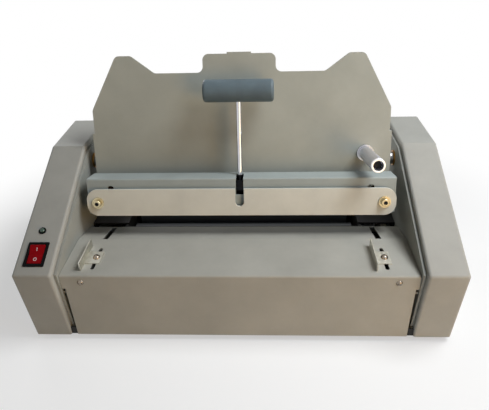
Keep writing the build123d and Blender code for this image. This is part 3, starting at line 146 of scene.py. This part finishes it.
def powder_coat(name, hex_colour, roughness):
    """Powder coat baked on steel sheet: satin, with a faint orange peel and softened edges."""
    tree, place = start_finish(name)
    # Orange peel ripples are about 1.2 mm apart
    peel = add_node(
        tree, "ShaderNodeTexNoise", values={"Scale": 1 / (1.2 * mm), "Detail": 2.0},
        links={"Vector": place},
    )
    # Handling marks and dust drift over about 70 mm
    drift = add_node(
        tree, "ShaderNodeTexNoise",
        values={"Scale": 1 / (70 * mm), "Detail": 5.0, "Roughness": 0.62},
        links={"Vector": place},
    )
    join_finish(
        tree, hex_colour, {"IOR": 1.5, "Specular IOR Level": 0.25},
        tone=drift, tone_span=(0.32, 0.68), tone_shares=(0.90, 1.05),
        gloss=drift, gloss_span=(roughness - 0.06, roughness + 0.08),
        relief=peel, relief_strength=0.18, relief_height=0.06, edge_radius=0.45,
    )


def metal(name, hex_colour, roughness, grain, depth):
    """Bare or plated metal; grain is the marks' spacing along X, Y and Z in millimetres.

    Real turning, grinding and rolling marks are about 0.1 mm apart, too fine to show, so they
    are drawn coarser.
    """
    tree, place = start_finish(name)
    stretched = add_node(
        tree, "ShaderNodeMapping", values={"Scale": [1 / (step * mm) for step in grain]},
        links={"Vector": place},
    )
    marks = add_node(
        tree, "ShaderNodeTexNoise", values={"Scale": 1.0, "Detail": 3.0},
        links={"Vector": stretched.outputs["Vector"]},
    )
    join_finish(
        tree, hex_colour, {"Metallic": 1.0},
        tone=marks, tone_span=(0.3, 0.7), tone_shares=(0.82, 1.0),
        gloss=marks, gloss_span=(roughness * 0.75, roughness * 1.3),
        relief=marks, relief_strength=depth, relief_height=0.03, edge_radius=0.2,
    )


def moulded(name, hex_colour, roughness, ior, grit, depth, clear=0.0, specular=0.5):
    """Moulded plastic, rubber or ceramic; grit is the mould texture's size in millimetres.

    A real mould texture is about 0.1 mm, too fine to show, so it is drawn coarser.
    """
    tree, place = start_finish(name)
    texture = add_node(
        tree, "ShaderNodeTexNoise", values={"Scale": 1 / (grit * mm), "Detail": 2.5},
        links={"Vector": place},
    )
    # The colour is a little uneven over about 18 mm
    drift = add_node(
        tree, "ShaderNodeTexNoise", values={"Scale": 1 / (18 * mm), "Detail": 4.0},
        links={"Vector": place},
    )
    join_finish(
        tree, hex_colour,
        {"IOR": ior, "Transmission Weight": clear, "Specular IOR Level": specular},
        tone=drift, tone_span=(0.3, 0.7), tone_shares=(0.85, 1.08),
        gloss=texture, gloss_span=(roughness * 0.85, min(1.0, roughness * 1.15)),
        relief=texture, relief_strength=depth, relief_height=0.05, edge_radius=0.25,
    )


# Warm light grey powder coat on the covers and rails: satin, slightly green in the shade
powder_coat("cover_powder_coat", "#A6A59E", roughness=0.57)
# The covers' coat painted darker on the side frames, as painted shade for the shade that falls on
# their inner walls
powder_coat("frame_coat_painted_shade", "#9A9B94", roughness=0.57)
# Putty powder coat on the front and the table: satin, warmer than the covers
powder_coat("panel_powder_coat", "#ACAAA1", roughness=0.57)
# Grey beige powder coat on the clamp's plates and arms: satin
powder_coat("plate_powder_coat", "#AFB1A7", roughness=0.58)
# Cooler grey powder coat on the jaw's folded channel: a little glossier
powder_coat("channel_powder_coat", "#A3ABA9", roughness=0.5)
# Paler putty powder coat on the jaw's front plate: nearly cream, a little glossier
powder_coat("jaw_powder_coat", "#DBDBD1", roughness=0.5)
# Satin black on the chassis pan and the tank's brackets, as painted shade for the dark gap under
# the front and the shade under the jaw: dull grey where it shines
powder_coat("chassis_painted_shade_black", "#1E1E1D", roughness=0.5)

# Blue-white zinc plate on pressed steel: pale, a little cloudy
metal("zinc_plate", "#C2C3C2", roughness=0.32, grain=(3, 3, 3), depth=0.1)
# Galvanised sheet on the side stops: pale, cloudy, half matt
metal("galvanised_sheet", "#CFCDC2", roughness=0.42, grain=(4, 4, 4), depth=0.15)
# Nickel plate on the visible screws, darkened as a painted reflection of a dark room: greyer and
# warmer than zinc, with a clear shine
metal("nickel_plate_dark_reflection", "#8A8074", roughness=0.2, grain=(0.8, 0.8, 0.8), depth=0.1)
# Yellow passivated zinc on the jaw's screws and washers: brassy, a little cloudy
metal("yellow_zinc_plate", "#BFB290", roughness=0.3, grain=(1.5, 1.5, 1.5), depth=0.15)
# Chrome plate on the lever rod: a clear mirror with hairlines along the rod
metal("chrome_plate", "#CACACE", roughness=0.07, grain=(0.4, 12, 12), depth=0.03)
# Centreless ground steel: fine rings round the shafts
metal("ground_steel", "#B9BABB", roughness=0.22, grain=(0.5, 8, 8), depth=0.12)
# Turned steel that runs in glue: dull grey, with fine rings
metal("turned_steel", "#5F6163", roughness=0.5, grain=(0.5, 8, 8), depth=0.12)
# Rolled spring steel on the doctor blade: bluish, with rolling lines along it
metal("spring_steel", "#6F7378", roughness=0.4, grain=(10, 0.5, 0.5), depth=0.1)
# Turned aluminium face at the end of the handle: nearly white
metal("turned_aluminium", "#F0F0EE", roughness=0.38, grain=(0.5, 0.5, 0.5), depth=0.08)
# Anodised aluminium sleeve of the swing handle: cool grey satin
metal("anodised_sleeve", "#E6E6EF", roughness=0.36, grain=(9, 0.5, 0.5), depth=0.1)
# Turned bronze bushes: yellow brown, with fine rings
metal("turned_bronze", "#B98A4B", roughness=0.3, grain=(0.5, 6, 6), depth=0.1)
# Sintered bronze soaked in oil: dark brown, grainy
metal("oiled_bronze", "#2E241A", roughness=0.5, grain=(0.6, 0.6, 0.6), depth=0.2)
# Black oxide on the cam, the stud and its socket, and black on the jaw screws' socket cups as
# painted shade for their dark insides: nearly black, half matt
metal("black_oxide_and_painted_shade", "#242426", roughness=0.42, grain=(1, 1, 1), depth=0.1)

# Fluoropolymer lining on the cast glue tank: dark, waxy
moulded("tank_fluoropolymer", "#2B2C2A", roughness=0.5, ior=1.38, grit=1.2, depth=0.15)
# Moulded rubber: dull black
moulded("moulded_rubber", "#1C1C1B", roughness=0.82, ior=1.52, grit=0.8, depth=0.35)
# Moulded polyamide in black, with a fine spark texture
moulded(
    "black_polyamide", "#0B0B0C", roughness=0.55, ior=1.5, grit=0.5, depth=0.2, specular=0.05
)
# Red polycarbonate rocker: smooth and deep in colour
moulded(
    "red_polycarbonate", "#8C0A12", roughness=0.34, ior=1.5, grit=3, depth=0.05, specular=0.05
)
# Green polycarbonate lens, unlit: clear, glossy
moulded(
    "green_polycarbonate", "#1F5138", roughness=0.14, ior=1.58, grit=2, depth=0.05, clear=0.35
)
# White pad print on the rocker: thin ink, faintly pink from the red under it
moulded("white_pad_print", "#D9C9C9", roughness=0.45, ior=1.5, grit=0.3, depth=0.05)
# Blue grey vinyl grip: satin, with a fine mould grain
moulded("grey_vinyl", "#5A6970", roughness=0.44, ior=1.53, grit=0.7, depth=0.22, specular=0.35)
# Cast nylon gears: waxy off-white
moulded("cast_nylon", "#DCD8C8", roughness=0.4, ior=1.53, grit=1.0, depth=0.1)
# Glass-epoxy board under green solder mask: smooth, half gloss
moulded("solder_mask", "#1E5B33", roughness=0.3, ior=1.5, grit=2.0, depth=0.1)
# Pressed ceramic strip heaters: chalky
moulded("pressed_ceramic", "#CFC8B6", roughness=0.7, ior=1.6, grit=0.8, depth=0.4)

# Which solids wear each finish
node_finishes = {
    "cover_powder_coat": [
        "end_cover_left", "end_cover_right", "rear_cover", "front_rail", "table_rails",
    ],
    "frame_coat_painted_shade": ["side_frame_left", "side_frame_right"],
    "panel_powder_coat": ["table_top"],
    "plate_powder_coat": ["back_plate", "swing_arm_left", "swing_arm_right", "pressure_pad"],
    "channel_powder_coat": ["jaw_channel"],
    "jaw_powder_coat": ["jaw_front_plate"],
    "chassis_painted_shade_black": ["base_pan", "tank_brackets"],
    "zinc_plate": ["foot_screws", "drive_motor", "motor_bracket", "motor_screws", "lever_lugs"],
    "galvanised_sheet": ["side_stop_left", "side_stop_right"],
    "nickel_plate_dark_reflection": [
        "end_cover_screws", "table_screws", "rear_cover_screws", "stop_screw_left",
        "stop_screw_right",
    ],
    "yellow_zinc_plate": ["jaw_screws", "jaw_washers"],
    "chrome_plate": ["lever_rod"],
    "ground_steel": ["pivot_shafts", "guide_rods", "lever_pin", "handle_collar"],
    "turned_steel": ["glue_roller", "roller_shaft"],
    "spring_steel": ["doctor_blade"],
    "anodised_sleeve": ["handle_sleeve"],
    "turned_bronze": ["pivot_bushes", "roller_bushes"],
    "oiled_bronze": ["guide_bushes"],
    "black_oxide_and_painted_shade": ["handle_stud", "lever_cam"],
    "tank_fluoropolymer": ["glue_tank"],
    "moulded_rubber": ["rubber_feet"],
    "black_polyamide": [
        "switch_housing", "power_inlet", "thermostat", "board_standoffs", "lamp_bezel",
    ],
    "red_polycarbonate": ["switch_rocker"],
    "green_polycarbonate": ["lamp_lens"],
    "grey_vinyl": ["lever_grip"],
    "cast_nylon": ["roller_gear", "motor_pinion"],
    "solder_mask": ["control_board"],
    "pressed_ceramic": ["tank_heaters"],
}

for finish_name, node_names in node_finishes.items():
    for node_name in node_names:
        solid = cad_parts[node_name]
        solid.data.materials.clear()
        solid.data.materials.append(finishes[finish_name])

# Edges that turn by more than this are sharp: they are bevelled, and shading breaks there
sharp_edge = radians(35)
# Least part of a face's normal along Z where the face closes a cylinder's end
end_face_normal = 0.9


def select_none():
    """Leave object mode with nothing selected."""
    if bpy.context.mode != "OBJECT":
        bpy.ops.object.mode_set(mode="OBJECT")
    bpy.ops.object.select_all(action="DESELECT")


def hold(piece):
    """Make the piece active and alone selected, in object mode."""
    select_none()
    bpy.context.view_layer.objects.active = piece
    piece.select_set(True)


def name_piece(name):
    """Name the object just added and its mesh, and return the object."""
    piece = bpy.context.active_object
    piece.name = name
    piece.data.name = name
    return piece


def start_cylinder(name, sides, radius, depth):
    """Add a cylinder along Z at the origin, its sizes in millimetres, and return it."""
    select_none()
    bpy.ops.mesh.primitive_cylinder_add(vertices=sides, radius=radius * mm, depth=depth * mm)
    return name_piece(name)


def pick_faces(piece, wanted):
    """Select the faces that wanted(face) accepts, with the piece in edit mode afterwards."""
    bpy.ops.object.mode_set(mode="EDIT")
    bpy.ops.mesh.select_mode(type="FACE")
    bpy.ops.mesh.select_all(action="DESELECT")
    bpy.ops.object.mode_set(mode="OBJECT")
    for face in piece.data.polygons:
        face.select = wanted(face)
    bpy.ops.object.mode_set(mode="EDIT")


def cut_bore(piece, wall):
    """Open a cylinder from end to end, leaving a wall of this thickness in millimetres."""
    pick_faces(piece, lambda face: abs(face.normal.z) > end_face_normal)
    bpy.ops.mesh.inset(thickness=wall * mm)
    bpy.ops.mesh.bridge_edge_loops()


def sink_recess(piece, rim, depth):
    """Sink a recess inside a rim into a cylinder's upper end, both sizes in millimetres."""
    pick_faces(piece, lambda face: face.normal.z > end_face_normal)
    bpy.ops.mesh.inset(thickness=rim * mm)
    bpy.ops.mesh.extrude_region_move(TRANSFORM_OT_translate={"value": (0, 0, -depth * mm)})


def round_edges(piece, width, segments):
    """Round the piece's sharp edges over a width in millimetres, and leave the piece held."""
    hold(piece)
    bevel = piece.modifiers.new("rounded_edges", "BEVEL")
    bevel.width = width * mm
    bevel.segments = segments
    bevel.limit_method = "ANGLE"
    bevel.angle_limit = sharp_edge
    bpy.ops.object.modifier_apply(modifier=bevel.name)


def settle(piece, place, finish, body):
    """Put the piece's place into its mesh, give it its finish and let it ride on a body."""
    hold(piece)
    piece.data.transform(place)
    piece.data.update()
    piece.data.materials.clear()
    piece.data.materials.append(finishes[finish])
    bpy.ops.object.shade_smooth_by_angle(angle=sharp_edge)
    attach(piece, body)
    select_none()


def clamp_matrix(x, height, forward):
    """Return a place in the clamp's leaning frame, with a piece's own Z turned forward."""
    point = Vector((
        x,
        clamp_foot_y + height * sin(lean) - forward * cos(lean),
        table_z + height * cos(lean) + forward * sin(lean),
    ))
    return Matrix.Translation(point * mm) @ Matrix.Rotation(pi / 2 - lean, 4, "X")


def rocker_matrix(along, rise):
    """Return the place of a mark on the rocker's dished face, along it from its middle."""
    side = 1 if along > 0 else -1
    pivot = Vector((rocker_x, rocker_pivot_y, rocker_pivot_z)) * mm
    height = rocker_dip_height + abs(along) * tan(rocker_face_fall)
    return (
        Matrix.Translation(pivot)
        @ Matrix.Rotation(slope_angle + rocker_tilt, 4, "X")
        @ Matrix.Translation(Vector((0, along, height + rise)) * mm)
        @ Matrix.Rotation(side * rocker_face_fall, 4, "X")
    )


# Handle end ring: a turned face that closes the sleeve's end round its bore
ring_clearance = 0.4
ring_radius = sleeve_radius - ring_clearance
ring_thickness = 0.8
handle_end_ring = start_cylinder(
    "handle_end_ring", sides=64, radius=ring_radius, depth=ring_thickness
)
cut_bore(handle_end_ring, wall=ring_radius - sleeve_bore_radius)
round_edges(handle_end_ring, width=0.25, segments=3)
settle(
    handle_end_ring, clamp_matrix(handle_x, handle_height, sleeve_front + ring_thickness / 2),
    finish="turned_aluminium", body="handle",
)

# Stud socket: a round recess in a rim on the stud's head, deep in the sleeve's bore
socket_clearance = 0.3
socket_radius = stud_head_radius - socket_clearance
socket_thickness = 1.6
stud_socket = start_cylinder(
    "stud_socket", sides=48, radius=socket_radius, depth=socket_thickness
)
sink_recess(stud_socket, rim=1.9, depth=1.1)
round_edges(stud_socket, width=0.3, segments=3)
settle(
    stud_socket, clamp_matrix(handle_x, handle_height, stud_head_front + socket_thickness / 2),
    finish="black_oxide_and_painted_shade", body="clamp",
)

# Jaw screw sockets: a black hexagon cup at the bottom of each screw's recess, painted shade for
# the socket's dark inside
cup_clearance = 0.1
cup_radius = jaw_socket_radius - cup_clearance
cup_thickness = 0.7
cup_turn = Matrix.Rotation(radians(30), 4, "Z")
jaw_socket_shade_left = start_cylinder(
    "jaw_socket_shade_left", sides=6, radius=cup_radius, depth=cup_thickness
)
sink_recess(jaw_socket_shade_left, rim=0.5, depth=0.45)
round_edges(jaw_socket_shade_left, width=0.08, segments=2)
bpy.ops.object.duplicate(linked=False)
jaw_socket_shade_right = name_piece("jaw_socket_shade_right")
for jaw_socket, side in ((jaw_socket_shade_right, 1), (jaw_socket_shade_left, -1)):
    cup_place = clamp_matrix(
        side * jaw_screw_x, jaw_screw_height, jaw_socket_floor + cup_thickness / 2
    )
    settle(
        jaw_socket, cup_place @ cup_turn, finish="black_oxide_and_painted_shade", body="jaw"
    )

# Rocker marks: a bar on the half that switches on and a ring on the half that switches off,
# each sunk into the rocker's face by a quarter of its thickness
mark_thickness = 0.16
mark_rise = mark_thickness / 4
mark_offset = 6.4
bar_width = 1.0
bar_length = 4.2
mark_ring_radius = 2.3
mark_ring_stroke = 0.9
select_none()
bpy.ops.mesh.primitive_cube_add(size=1)
rocker_mark_on = name_piece("rocker_mark_on")
bpy.ops.transform.resize(value=(bar_width * mm, bar_length * mm, mark_thickness * mm))
bpy.ops.object.transform_apply(location=False, rotation=False, scale=True)
rocker_mark_off = start_cylinder(
    "rocker_mark_off", sides=48, radius=mark_ring_radius, depth=mark_thickness
)
cut_bore(rocker_mark_off, wall=mark_ring_stroke)
for mark, along in ((rocker_mark_on, mark_offset), (rocker_mark_off, -mark_offset)):
    round_edges(mark, width=0.06, segments=2)
    settle(
        mark, rocker_matrix(along, mark_rise),
        finish="white_pad_print", body="rocker",
    )


def white_rays(tree):
    """Return a value that is 1 where the camera, a reflection or a clear piece looks on."""
    rays = add_node(tree, "ShaderNodeLightPath")
    seen = add_node(
        tree, "ShaderNodeMath",
        links={0: rays.outputs["Is Camera Ray"], 1: rays.outputs["Is Transmission Ray"]},
        operation="MAXIMUM",
    )
    return add_node(
        tree, "ShaderNodeMath",
        links={0: seen.outputs[0], 1: rays.outputs["Is Glossy Ray"]},
        operation="MAXIMUM",
    ).outputs[0]


# Floor: a pale sheet that keeps the machine's shadow and turns plain white away from it,
# its sizes in metres
floor_width = 40
shadow_reach = 0.36
white_reach = 0.62
floor_base_white = 0.5
select_none()
bpy.ops.mesh.primitive_plane_add(size=floor_width)
floor = name_piece("studio_floor")
floor_tree, floor_place = start_finish("pale_floor")
floor_shader = add_node(
    floor_tree, "ShaderNodeBsdfDiffuse", values={"Color": linear("#FAFAF9")}
)
floor_white = add_node(
    floor_tree, "ShaderNodeEmission", values={"Color": white, "Strength": 1.0}
)
floor_distance = add_node(
    floor_tree, "ShaderNodeVectorMath", links={0: floor_place}, operation="LENGTH"
)
floor_fade = add_node(
    floor_tree, "ShaderNodeMapRange",
    values={"From Min": shadow_reach, "From Max": white_reach, "To Min": floor_base_white},
    links={"Value": floor_distance.outputs["Value"]}, interpolation_type="SMOOTHSTEP",
)
floor_share = add_node(
    floor_tree, "ShaderNodeMath",
    links={0: floor_fade.outputs["Result"], 1: white_rays(floor_tree)}, operation="MULTIPLY",
)
floor_mix = add_node(
    floor_tree, "ShaderNodeMixShader",
    links={0: floor_share.outputs[0], 1: floor_shader.outputs[0], 2: floor_white.outputs[0]},
)
add_node(floor_tree, "ShaderNodeOutputMaterial", links={"Surface": floor_mix.outputs[0]})
floor.data.materials.append(finishes["pale_floor"])

# World: soft fill, and plain white where the camera or a reflection looks past the floor
world = bpy.data.worlds.new("studio_world")
bpy.context.scene.world = world
world.use_nodes = True
world_tree = world.node_tree
world_tree.nodes.clear()
fill = add_node(
    world_tree, "ShaderNodeBackground", values={"Color": linear("#F4F7FA"), "Strength": 0.02}
)
backdrop = add_node(
    world_tree, "ShaderNodeBackground", values={"Color": white, "Strength": 1.0}
)
world_mix = add_node(
    world_tree, "ShaderNodeMixShader",
    links={0: white_rays(world_tree), 1: fill.outputs[0], 2: backdrop.outputs[0]},
)
add_node(world_tree, "ShaderNodeOutputWorld", links={"Surface": world_mix.outputs[0]})

# Square lamps: name, place, aim and width in metres, power in watts, and tint
softboxes = (
    ("overhead_softbox", (0.62, -0.1, 1.15), (0, 0, 0.1), 0.5, 11.4, "#FAFDFF"),
    ("window_softbox", (0.65, -0.5, 0.65), (0.1, 0, 0.1), 0.4, 1.5, "#D6E6FF"),
    ("desk_softbox", (0.75, -0.95, 0.25), (0.1, -0.1, 0.05), 0.5, 3.9, "#FFD089"),
    ("rear_softbox", (-0.85, 1.2, 0.5), (-0.1, 0.1, 0.1), 0.7, 5.5, "#FFFFFF"),
)
for lamp_name, lamp_place, lamp_aim, lamp_width, power, tint in softboxes:
    lamp_data = bpy.data.lights.new(lamp_name, "AREA")
    lamp_data.shape = "SQUARE"
    lamp_data.size = lamp_width
    lamp_data.energy = power
    lamp_data.color = linear(tint)[:3]
    lamp = bpy.data.objects.new(lamp_name, lamp_data)
    bpy.context.scene.collection.objects.link(lamp)
    lamp.location = lamp_place
    direction = Vector(lamp_aim) - Vector(lamp_place)
    lamp.rotation_euler = direction.to_track_quat("-Z", "Y").to_euler()

# Camera at the photograph's height and angle
camera_data = bpy.data.cameras.new("camera")
camera_data.sensor_width = sensor_width
camera_data.lens = focal_pixels / photo_width * sensor_width
camera_data.shift_y = -optical_axis_rise / photo_width
camera = bpy.data.objects.new("camera", camera_data)
bpy.context.scene.collection.objects.link(camera)
camera.matrix_world = (
    Matrix.Translation(Vector(camera_place) * mm)
    @ Matrix.Rotation(radians(-camera_yaw), 4, "Z")
    @ Matrix.Rotation(radians(90 - camera_pitch), 4, "X")
    @ Matrix.Rotation(radians(camera_roll), 4, "Z")
)
bpy.context.scene.camera = camera
bpy.context.scene.view_settings.view_transform = "Standard"
